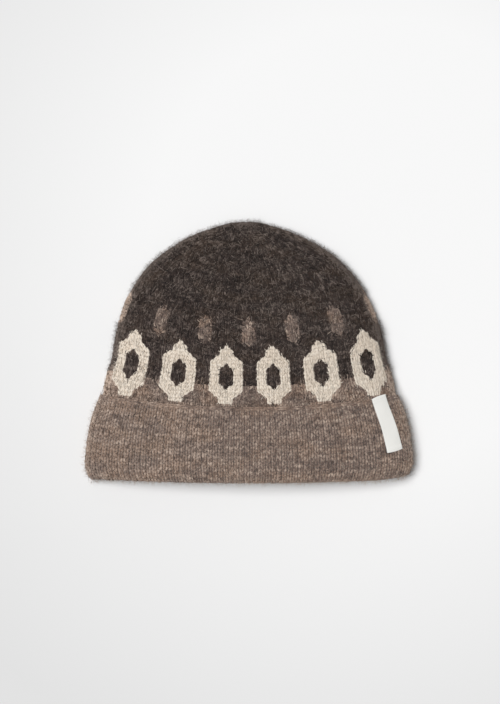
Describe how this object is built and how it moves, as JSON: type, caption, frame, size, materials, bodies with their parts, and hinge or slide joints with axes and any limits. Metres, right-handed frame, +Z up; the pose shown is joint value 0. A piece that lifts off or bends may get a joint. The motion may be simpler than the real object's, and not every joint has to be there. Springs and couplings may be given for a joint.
{
  "type": "knitted beanie with a turned-up cuff",
  "caption": "Knitted wool beanie with a patterned yoke, a wide turned-up cuff and a small woven label, lying flat on its back.",
  "frame": {"origin": "on the surface that the hat lies on, under the middle of its outline", "axes": "+X towards the hat's right side as it is seen from above, +Y from the hem to the top of the crown, +Z up from the surface"},
  "size_m": [0.266, 0.212, 0.0421],
  "materials": {
    "crown_knit": "heathered charcoal wool, knitted",
    "cuff_knit": "heathered taupe wool, knitted",
    "label_weave": "off-white woven ribbon, bare"
  },
  "bodies": {
    "root": {"crown": "crown_knit", "cuff": "cuff_knit", "label": "label_weave"}
  },
  "joints": []
}
